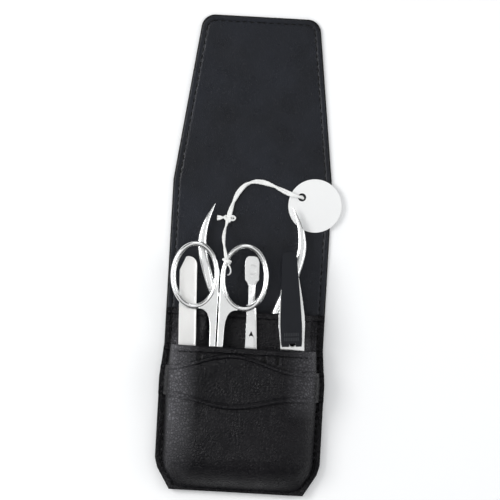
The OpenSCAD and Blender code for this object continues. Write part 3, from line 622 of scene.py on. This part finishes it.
# Thread. Black waxed thread in a running stitch round the case, shown on both faces, in lines under
# the hems of the pockets, and wound tight in the three bar tacks.
THREAD_W = 0.6
# How deep the edge stitches sink in the pockets' seams, and the height and length of those below
SUNK = 0.08
BACK_Z = 0.16
BACK_SHARE = 0.75
HEM_PITCH = 2.2
HEM_STITCH_L = 1.6
TACK_L = 3.8
TACK_TURNS = 3
TACK_PITCH = 0.3


def stitch(part, x, y, z, angle, length, tilt=0):
    """One stitch: a low bead of thread that dips into its holes at both ends."""
    turn = Matrix.Translation((x, y, z)) @ Matrix.Rotation(angle, 4, "Z") @ Matrix.Rotation(tilt, 4, "Y")
    bmesh.ops.create_uvsphere(part, u_segments=6, v_segments=5, radius=1,
                              matrix=turn @ Matrix.Diagonal((length / 2, THREAD_W / 2, THREAD_W / 2.4, 1)))


def seam_height(v):
    """Top of the stack of layers at the sewn edge."""
    if BAND_LOW[1] < v < BAND_TOP[1]:
        return FRONT["base"] + FRONT["t"] + BAND_T
    if v < FRONT["mouth"]:
        return FRONT["base"] + FRONT["t"]
    return REAR["base"] + REAR["t"] if v < REAR["mouth"] else Z_LINING - 0.2


part = bmesh.new()
for x, v, angle in outline_walk(STITCH_L + STITCH_GAP):
    for side in (1, -1):
        turn = angle if side == 1 else pi - angle
        stitch(part, side * x, Y_LOW + v, seam_height(v) - SUNK * (v < REAR["mouth"]), turn, STITCH_L)
        stitch(part, side * x, Y_LOW + v, BACK_Z, turn, STITCH_L * BACK_SHARE)
thread, tree, shader = new_material("black_thread", (0.004, 0.004, 0.004), 0.6, specular=0.12)
twist = texture(tree, "Wave", 900, 1)
twist.inputs["Distortion"].default_value = 2
bump(tree, shader, twist.outputs["Fac"], 0.05 * MM)
upper = part.copy()
for half, side in ((part, 1), (upper, -1)):
    far = [v for v in half.verts if side * (v.co.y - Y_SPLIT) > 0]
    bmesh.ops.delete(half, geom=far, context="VERTS")
bend(piece("edge_stitches_lower", part, thread, sharp=180))
bend(piece("edge_stitches_upper", upper, thread, sharp=180))

part = bmesh.new()
for pocket, relief, reach in ((REAR, rear_relief, 27), (FRONT, front_relief, 27.5)):
    v = pocket["mouth"] - HEM_H - 0.1
    for i in range(int(-reach / HEM_PITCH), int(reach / HEM_PITCH) + 1):
        x = i * HEM_PITCH
        z = panel_height(pocket, relief, x, v, pocket["t"])
        slope = panel_height(pocket, relief, x + 0.5, v, pocket["t"]) - z
        stitch(part, x, Y_LOW + v, z - 0.05, 0, HEM_STITCH_L, -atan2(slope, 0.5))
for tack in TACKS:
    for i in range(TACK_TURNS):
        x, v = tack + (i - 1) * TACK_PITCH, FRONT["mouth"] - HEM_H - TACK_DROP
        z = panel_height(FRONT, front_relief, x, v, FRONT["t"])
        stitch(part, x, Y_LOW + v, z + 0.05, pi / 2, TACK_L)
piece("pocket_stitches", part, thread, "case", sharp=180)


# Nail scissors. Two forged and polished steel halves, each with a finger ring of flattened wire, a
# web that runs down into a flat shank, and a blade that crosses at the slotted pivot screw.
SCISSORS_AT = (-11.5, -54.7)
SCISSOR_T = 1.3
Z_SCISSOR = 10.35
RING_RISE = 45
RING_APART = 0.3
RING_A, RING_B = 9.1, 13.1
WIRE_HALF_W, WIRE_HALF_H = 1.1, 1.3
SHANK_T = 2.2
SHANK_IN, SHANK_OUT = 0.35, 2.9
BOSS_R = 4.6
HALF_GAP = 0.05
Z_LEFT_HALF = Z_SCISSOR + SCISSOR_T + HALF_GAP
Z_RING = Z_LEFT_HALF
STEEL_TONE = (0.84, 0.85, 0.85)


def polished(name, tone, roughness):
    """Polished steel with faint handling smears and hair-fine scratches."""
    made, tree, shader = new_material(name, tone, roughness, metallic=1)
    smear = texture(tree, "Noise", 140, 3)
    tree.links.new(remap(tree, smear.outputs["Fac"], 0.3, 0.75, roughness * 0.75, roughness * 1.6),
                   shader.inputs["Roughness"])
    tree.links.new(blend_colours(tree, remap(tree, smear.outputs["Fac"], 0.35, 0.7, 0, 1), tone,
                                 tuple(c * 0.93 for c in tone)), shader.inputs["Base Color"])
    place = tree.nodes.new("ShaderNodeMapping")
    place.inputs["Scale"].default_value = (9, 0.6, 9)
    tree.links.new(tree.nodes.new("ShaderNodeTexCoord").outputs["Object"], place.inputs[0])
    hair = texture(tree, "Noise", 800, 2, place.outputs[0])
    bump(tree, shader, hair.outputs["Fac"], 0.01 * MM, 0.25)
    return made


def sweep(part, stations, segments=16, closed=False, square=1, lobes=0, lobe=0):
    """Skins a bar over stations of (centre, side, up, half width, half height).

    square below 1 makes its section fuller than an ellipse, and lobes of size lobe make it plied.
    """
    loops = []
    for centre, side, up, half_w, half_h in stations:
        matrix = Matrix((side, up, side.cross(up))).transposed().to_4x4()
        matrix.translation = centre
        ring = bmesh.ops.create_circle(part, segments=segments, radius=1, matrix=matrix)["verts"]
        for i, vert in enumerate(ring):
            a = 2 * pi * i / segments
            c, s = cos(a), sin(a)
            grow = 1 + lobe * cos(lobes * a)
            c = grow * abs(c) ** square * (1 if c > 0 else -1)
            s = grow * abs(s) ** square * (1 if s > 0 else -1)
            vert.co = Vector(centre) + side * (half_w * c) + up * (half_h * s)
        loops.append(list({e for v in ring for e in v.link_edges}))
    pairs = list(zip(loops, loops[1:])) + ([(loops[-1], loops[0])] if closed else [])
    for a, b in pairs:
        bmesh.ops.bridge_loops(part, edges=a + b)
    if not closed:
        for end in (loops[0], loops[-1]):
            bmesh.ops.edgeloop_fill(part, edges=end)
    bmesh.ops.recalc_face_normals(part, faces=part.faces)


def plate(outline, low, high, rounding):
    """Flat plate cut to an outline seen from above, between two heights, with rounded edges."""
    part = bmesh.new()
    part.faces.new([part.verts.new((x, y, low)) for x, y in outline])
    thick = bmesh.ops.extrude_face_region(part, geom=part.faces[:], use_keep_orig=True)
    for vert in thick["geom"]:
        if isinstance(vert, bmesh.types.BMVert):
            vert.co.z = high
    bmesh.ops.recalc_face_normals(part, faces=part.faces)
    round_edges(part, rounding)
    return part


def round_edges(part, size, segments=3, angle=50):
    """Rounds every edge that is sharper than an angle in degrees."""
    edges = [e for e in part.edges if e.calc_face_angle(0) > radians(angle)]
    bmesh.ops.bevel(part, geom=edges, offset=size, segments=segments, profile=0.5, affect="EDGES",
                    material=-1, clamp_overlap=True)


def join(part, *others):
    """Adds other parts to this one, and frees them."""
    for other in others:
        held = bpy.data.meshes.new("held")
        other.to_mesh(held)
        other.free()
        part.from_mesh(held)
        bpy.data.meshes.remove(held)
    return part


def arc(x, y, rx, ry, first, last, steps):
    """Points on an ellipse's arc, in degrees."""
    angles = [radians(first + (last - first) * i / steps) for i in range(steps + 1)]
    return [(x + rx * cos(a), y + ry * sin(a)) for a in angles]


def curve_through(a, b, c, steps):
    """Points of a curve from a to c that is pulled towards b."""
    return [tuple((1 - t) ** 2 * p + 2 * t * (1 - t) * q + t * t * r for p, q, r in zip(a, b, c))
            for t in (i / steps for i in range(steps + 1))]


RING_X = RING_A + WIRE_HALF_W + RING_APART / 2
RING_STATIONS = 96
# Outline of a blade from its shank to its tip and back
BLADE = ((SHANK_OUT, BOSS_R + 4.7), (SHANK_IN, BOSS_R + 4.7), (SHANK_IN, 3.5), (-BOSS_R + 0.1, -1),
         (-BOSS_R + 0.3, -7.1), (-3.6, -14.2), (-2.3, -21.4), (-0.5, -28.5), (0.2, -28.5), (0.9, -17),
         (1.3, -5.7), (1.6, -1), (4, 0))


def on_ring(a):
    """Centre of the ring's wire at an angle, from the pivot, with the ways along the wire and out."""
    along = Vector((-RING_A * sin(a), RING_B * cos(a), 0)).normalized()
    centre = Vector((RING_X + RING_A * cos(a), RING_RISE + RING_B * sin(a), Z_RING))
    return centre, along, Vector((along.y, -along.x, 0))


def scissor_half(blade_z):
    """The half whose ring stands at +X, with its pivot at the local origin."""
    part = bmesh.new()
    stations = []
    for i in range(RING_STATIONS):
        centre, _, out = on_ring(2 * pi * i / RING_STATIONS)
        stations.append((centre, out, Vector((0, 0, 1)), WIRE_HALF_W, WIRE_HALF_H))
    sweep(part, stations, segments=20, closed=True, square=0.92)
    low = RING_RISE - RING_B
    web = (arc(RING_X, RING_RISE, RING_A, RING_B, 178, 254, 20)
           + curve_through((RING_X - 2.2, low - 0.85), (3.5, low - 0.5), (SHANK_OUT + 0.1, low - 8.5), 10)
           + [(SHANK_OUT - 0.3, BOSS_R + 1.7), (SHANK_IN, BOSS_R + 1.7), (SHANK_IN, RING_RISE - 1)])
    shank = plate(web, Z_RING - SHANK_T / 2, Z_RING + SHANK_T / 2, 0.5)
    flat = plate(BLADE, blade_z, blade_z + SCISSOR_T, 0.15)
    boss = plate(arc(0, 0, BOSS_R, BOSS_R, 0, 354, 59), blade_z, blade_z + SCISSOR_T, 0.2)
    return join(part, shank, flat, boss)


def flat_faces(made):
    """Shades the large faces flat and the eased edges round them smooth, as on ground metal."""
    made.modifiers.new("flat_faces", "WEIGHTED_NORMAL").keep_sharp = True
    return made


def put(part, at, mirrored=False, angle=0):
    """Moves a part from its local origin to its place, mirrored left to right if asked."""
    if mirrored:
        bmesh.ops.scale(part, vec=(-1, 1, 1), verts=part.verts)
        bmesh.ops.reverse_faces(part, faces=part.faces)
    bmesh.ops.rotate(part, cent=(0, 0, 0), matrix=Matrix.Rotation(angle, 3, "Z"), verts=part.verts)
    bmesh.ops.translate(part, vec=(at[0], at[1], 0), verts=part.verts)
    return part


steel = polished("polished_steel", STEEL_TONE, 0.2)
for name, node, body, z, mirrored in (
        ("scissors_half_with_right_ring", "scissor_half_right", "scissors", Z_SCISSOR, False),
        ("scissors_half_with_left_ring", "scissor_half_left", "scissors_left", Z_LEFT_HALF, True)):
    flat_faces(piece(name, put(scissor_half(z), SCISSORS_AT, mirrored), steel, body, (node,),
                     sharp=35))


def refined(name, node, material, body, edge, angle=30):
    """A frame node's own shape with its loose triangles merged and its sharp edges eased."""
    part = bmesh.new()
    part.from_mesh(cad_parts[node].data)
    bmesh.ops.scale(part, vec=(1 / MM,) * 3, verts=part.verts)
    bmesh.ops.remove_doubles(part, verts=part.verts, dist=0.002)
    bmesh.ops.dissolve_limit(part, angle_limit=radians(0.6), verts=part.verts, edges=part.edges)
    round_edges(part, edge, 2, angle)
    return flat_faces(piece(name, part, material, body, (node,), sharp=angle))


refined("pivot_screw", "scissor_screw", steel, "scissors", 0.06)


# Cuticle nippers. Two forged halves lapped at a round riveted joint: jaws below, and above them long
# handles of round-edged bar that bow out, turn in again and end in points. Two leaf springs between
# the handles push them apart.
NIPPERS_AT = (1.2, -53)
HANDLE_REACH, HANDLE_L = 20.9, 73.5
Z_NIP, NIPPER_T = 1.8, 5.6
Z_NIP_MID = Z_NIP + NIPPER_T / 2
CHEEK_R = 5.2
CHEEK_GAP = 0.1
CHEEK_T = (NIPPER_T - CHEEK_GAP) / 2
JAW_L = 26
WEB = ((3.2, -1.4), (-3.2, 1.4), (-7.8, 12.6), (-4.4, 14.2))
LAP = ((-1, 0), (5, 0), (5.6, -7.7), (0.9, -7.7))
JAW = ((0.75, -6.2), (4.9, -4.4), (6.1, -9.4), (6.6, -15.1), (6, -20.8), (3.33, -JAW_L), (2.83, -JAW_L))
# A handle's course in shares of its reach and length, with half its width and height at each place
HANDLE = ((-0.23, 0.136), (-0.354, 0.23), (-0.512, 0.354), (-0.665, 0.47), (-0.81, 0.565),
          (-0.952, 0.69), (-1, 0.79), (-0.938, 0.895), (-0.785, 1))
HANDLE_W = (2.35, 2.35, 2.25, 2.2, 2.15, 2.05, 1.85, 1.25, 0.15)
HANDLE_H = (2, 2, 2, 1.95, 1.95, 1.85, 1.65, 1.2, 0.2)


def smooth_course(points, steps):
    """Points along a smooth curve through the given points."""
    course = []
    for i in range(len(points) - 1):
        a, b, c, d = (Vector(points[min(max(j, 0), len(points) - 1)]) for j in (i - 1, i, i + 1, i + 2))
        for s in range(steps):
            t = s / steps
            course.append(0.5 * (2 * b + (c - a) * t + (2 * a - 5 * b + 4 * c - d) * t * t
                                 + (3 * b - a - 3 * c + d) * t ** 3))
    return course + [Vector(points[-1])]


def nipper_half(cheek_z):
    """The half whose handle stands at -X, with the rivet at the local origin."""
    part = bmesh.new()
    course = smooth_course([(x * HANDLE_REACH, y * HANDLE_L, Z_NIP_MID) for x, y in HANDLE], 6)
    sizes = smooth_course(list(zip(HANDLE_W, HANDLE_H)), 6)
    stations = []
    for i, centre in enumerate(course):
        along = (course[min(i + 1, len(course) - 1)] - course[max(i - 1, 0)]).normalized()
        stations.append((centre, Vector((along.y, -along.x, 0)), Vector((0, 0, 1)), *sizes[i]))
    sweep(part, stations, segments=20, square=0.72)
    cheek = plate(arc(0, 0, CHEEK_R, CHEEK_R, 0, 354, 59), cheek_z, cheek_z + CHEEK_T, 0.3)
    web = plate(WEB, cheek_z, cheek_z + CHEEK_T, 0.3)
    lap = plate(LAP, cheek_z, cheek_z + CHEEK_T, 0.2)
    return join(part, cheek, web, lap, plate(JAW, Z_NIP, Z_NIP + NIPPER_T, 0.3))


for name, node, body, z, mirrored in (
        ("nippers_half_with_left_handle", "nipper_half_left", "nippers", Z_NIP, False),
        ("nippers_half_with_right_handle", "nipper_half_right", "nippers_right",
         Z_NIP + CHEEK_T + CHEEK_GAP, True)):
    piece(name, put(nipper_half(z), NIPPERS_AT, mirrored), steel, body, (node,), sharp=35)
spring_steel = polished("spring_steel", (0.7, 0.71, 0.72), 0.22)
for name, node, body in (("nippers_rivet", "nipper_rivet", "nippers"),
                         ("left_spring_screw", "spring_screw_left", "nippers"),
                         ("right_spring_screw", "spring_screw_right", "nippers_right")):
    refined(name, node, steel, body, 0.08)
for name, node, body in (("left_leaf_spring", "leaf_spring_left", "nippers"),
                         ("right_leaf_spring", "leaf_spring_right", "nippers_right")):
    refined(name, node, spring_steel, body, 0.06)


# Nail clipper. Two pressed steel arms riveted at the tail, bowed apart by their own spring, with
# ground cutting edges; a turned pin through both, its top end painted dark as the shade under the grip;
# and a lever hung on the pin's crossbar that carries a moulded black grip with ribs, and a black lip over
# each of the lever's ears, which stands in for the shade at the grip's end.
CLIPPER_AT = (20.1, -35.9)
CLIPPER_TURN = radians(4.4)
GRIP_TONE = (0.006, 0.007, 0.01)
# Heights over which the pin's top end is painted dark as shade under the grip, and those between the grip's
# face and its ribs' tops
PIN_SHADE_Z = (15.3, 15.4)
RIB_TOPS = (17.17, 17.22)
# The two parts of the black lip that stands in for the shade at the grip's end, seen from above with the
# pin at the origin, and its heights
SHADE_LIPS = (((1.35, -1.3), (3.8, -1.3), (4, -0.2), (1.35, -0.2)),
        ((-4.4, -1.3), (-1.35, -1.3), (-1.35, -0.2), (-4.6, -0.2)))
SHADE_LIP_Z = (16.6, 17.1)
for name, node, body in (("clipper_lower_arm_finished", "clipper_lower_arm", "clipper"),
                         ("clipper_upper_arm_finished", "clipper_upper_arm", "clipper_top"),
                         ("clipper_rivet_finished", "clipper_tail_rivet", "clipper"),
                         ("clipper_lever_finished", "clipper_lever", "lever")):
    refined(name, node, steel, body, 0.12)

# The pin's steel turns dark at its top end: painted shade under the grip
pin_steel_painted_shade, tree, shader = new_material("pin_steel_painted_shade", STEEL_TONE, 0.2, metallic=1)
end = along_axis(tree, tree.nodes.new("ShaderNodeTexCoord").outputs["Object"], "Z", *PIN_SHADE_Z, 0, 1)
tree.links.new(blend_colours(tree, end, STEEL_TONE, (0.01, 0.01, 0.012)), shader.inputs["Base Color"])
refined("clipper_pin_finished", "clipper_pin", pin_steel_painted_shade, "swivel_pin", 0.12)

grip, tree, shader = new_material("black_grip", GRIP_TONE, 0.42, specular=0.2)
fine = texture(tree, "Noise", 2500, 2)
bump(tree, shader, fine.outputs["Fac"], 0.02 * MM, 0.6)
rub = texture(tree, "Noise", 200, 3)
tree.links.new(remap(tree, rub.outputs["Fac"], 0.3, 0.7, 0.36, 0.5), shader.inputs["Roughness"])
# The ribs' tops are blended to a paler tone than the grip's face
paler = along_axis(tree, tree.nodes.new("ShaderNodeTexCoord").outputs["Object"], "Z", *RIB_TOPS, 0, 1)
tree.links.new(blend_colours(tree, paler, GRIP_TONE, (0.035, 0.037, 0.042)), shader.inputs["Base Color"])
refined("lever_grip", "lever_cover", grip, "lever", 0.15)
# A black lip over the lever's ears, put where the shade at the grip's end falls
lip = join(*(plate(outline, *SHADE_LIP_Z, 0.1) for outline in SHADE_LIPS))
piece("grip_shade_lip", put(lip, CLIPPER_AT, angle=CLIPPER_TURN), grip, "lever")


# File. A flat steel blade with a fine satin grit on both faces inside a narrow rim. It stands loose
# in the left slot of the front pocket.
file_steel, tree, shader = new_material("satin_file_steel", (0.8, 0.8, 0.79), 0.4, metallic=1)
grit = texture(tree, "Voronoi", 3200)
bump(tree, shader, grit.outputs["Distance"], 0.03 * MM, 0.5)
patch = texture(tree, "Noise", 70, 3)
tree.links.new(remap(tree, patch.outputs["Fac"], 0.3, 0.7, 0.38, 0.5), shader.inputs["Roughness"])
refined("file_blade", "nail_file", file_steel, "file", 0.08, 35)


# Cuticle pusher. One turned and pressed steel bar: a hollowed spoon, a thin neck, and a flat body
# that carries a small cleaning notch and goes down into the pocket, where it stands loose.
refined("pusher_bar", "cuticle_pusher", steel, "pusher", 0.06)


# Tag. A bare disc of white card with a punched hole, hung on the string. It slides down a little
# as the case closes.
card, tree, shader = new_material("white_card", (0.84, 0.84, 0.84), 0.75, specular=0.2)
fibre = texture(tree, "Noise", 1500, 4)
bump(tree, shader, fibre.outputs["Fac"], 0.02 * MM, 0.5)
cloud = texture(tree, "Noise", 60, 2)
tree.links.new(blend_colours(tree, cloud.outputs["Fac"], (0.8, 0.8, 0.8), (0.87, 0.87, 0.86)),
               shader.inputs["Base Color"])
tag = refined("tag_disc", "tag", card, "tag_card", 0.06)


# Tag string. A white cotton thread of three plies, doubled, 1.6 mm across and 63 mm long. It is hitched
# round the right ring's wire, knotted, and goes round to the tag's hole.
ROUTE = ((-9.2, -2.4, 14), (-9.8, 0.4, 13.7), (-10.4, 3.2, 12), (-10.8, 6, 9.2), (-10.7, 8.6, 6.4),
         (-10.2, 11.4, 4.2), (-9.4, 14.6, 3.1), (-8.6, 18.2, 2.6), (-7.4, 22.2, 2.5), (-5.6, 26, 2.5),
         (-3, 29, 2.5), (0.6, 30.6, 2.5), (4.6, 30.5, 2.5), (9, 29.2, 2.5), (13, 27.5, 2.6),
         (16, 26.3, 3.1), (18.4, 25.6, 3.5), (20.1, 25.3, 3.2), (21.4, 25.1, 2.3))
STRAND_R = 0.42
# Lengths of one turn of the strands round each other, and of the plies in a strand
LAY_L = 22
TWIST_L = 1.5
STRAND_OFF = 0.38
# Width of the strands along the string, from the ring to the tag
WIDTHS = (0.9,) * 4 + (1.35,) * 7 + (1.2,)
KNOT_AT = Vector(ROUTE[6])
KNOT_R = 0.62
BOW = ((0.2, 0.3, 0.3), (1.7, 1.2, 0.7), (2.9, 0.4, 0.7), (2.1, -0.6, 0.5), (0.3, -0.4, 0.3))
TAIL_SPREAD = 0.35
HITCH_AT = radians(150)
CURL = ((0.6, -1.4, 1.6), (1.5, -2.6, 1.4), (1.9, -4.2, 0.2), (1.5, -5.4, -1), (0.7, -5.9, -1.6))


def frames_along(course):
    """Steady side and up directions at each point of a course in space."""
    side = Vector((1, 0, 0.2))
    for i, centre in enumerate(course):
        along = (course[min(i + 1, len(course) - 1)] - course[max(i - 1, 0)]).normalized()
        side = (side - along * side.dot(along)).normalized()
        yield centre, side.copy(), along.cross(side)


def strand(course, offset, phase, sizes=(1,)):
    """One strand of three plies, uneven as cotton is, lying beside the course and slowly round it."""
    run, last, stations = 0, course[0], []
    for i, (centre, side, up) in enumerate(frames_along(course)):
        run += (centre - last).length
        last = centre
        lay = phase + 2 * pi * run / LAY_L
        turn = 2 * pi * run / TWIST_L
        size = between(i / len(course), [(k / max(1, len(sizes) - 1), s) for k, s in enumerate(sizes)])
        thick = STRAND_R * size * (1 + 0.22 * noise.noise(centre * 1.9 + Vector((phase, 0, 0))))
        centre = centre + (side * cos(lay) + up * (0.45 * sin(lay))) * offset * size
        stations.append((centre, side * cos(turn) + up * sin(turn), up * cos(turn) - side * sin(turn),
                         thick, thick))
    part = bmesh.new()
    sweep(part, stations, segments=12, lobes=3, lobe=0.16)
    return part


cotton, tree, shader = new_material("white_cotton", (0.86, 0.86, 0.84), 0.9, specular=0.2)
fluff = texture(tree, "Noise", 2600, 4)
bump(tree, shader, fluff.outputs["Fac"], 0.08 * MM, 0.7)
tree.links.new(blend_colours(tree, fluff.outputs["Fac"], (0.84, 0.84, 0.82), (0.95, 0.95, 0.94)),
               shader.inputs["Base Color"])

course = smooth_course(ROUTE, 14)
string = piece("string", join(*(strand(course, STRAND_OFF, phase, WIDTHS) for phase in (0, pi))), cotton,
               "scissors", ("tag_string",), sharp=180)
turns = [KNOT_AT + KNOT_R * Vector((sin(a) + 2 * sin(2 * a), 0.8 * (cos(a) - 2 * cos(2 * a)),
                                    -0.8 * sin(3 * a)))
         for a in (2 * pi * i / 24 for i in range(25))]
bow = [KNOT_AT + Vector(p) for p in BOW]
tails = [[KNOT_AT + Vector(p) for p in ((-0.6, 0.1, 0.1), (-2, 0.3, 0), (-3.2, 0.2 + apart, -0.3),
                                        (-4.7, 0.1 + 1.6 * apart, -0.5))]
         for apart in (TAIL_SPREAD, -TAIL_SPREAD)]
knot = piece("knot", join(strand(smooth_course(turns, 4), 0, 0),
                          strand(smooth_course(bow, 6), 0, 0, (0.8,)),
                          *(strand(smooth_course(tail, 5), 0, 0, (0.9, 0.95, 1.45)) for tail in tails)),
             cotton, "scissors", ("string_knot",), sharp=180)
for made in (string, knot):
    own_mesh(made)

centre, along, out = on_ring(HITCH_AT)
centre += Vector((*SCISSORS_AT, 0))
wraps = [centre + along * (0.45 * sin(a / 2)) + out * (1.62 * cos(a)) + Vector((0, 0, 1.8 * sin(a)))
         for a in (2 * pi * i / 24 for i in range(49))]
curl = smooth_course([centre + Vector(p) for p in CURL], 6)
hitch = piece("hitch", join(strand(wraps, 0, 0), strand(curl, 0, 0, (0.75, 0.6))), cotton,
              "scissors", ("string_loop",), sharp=180)
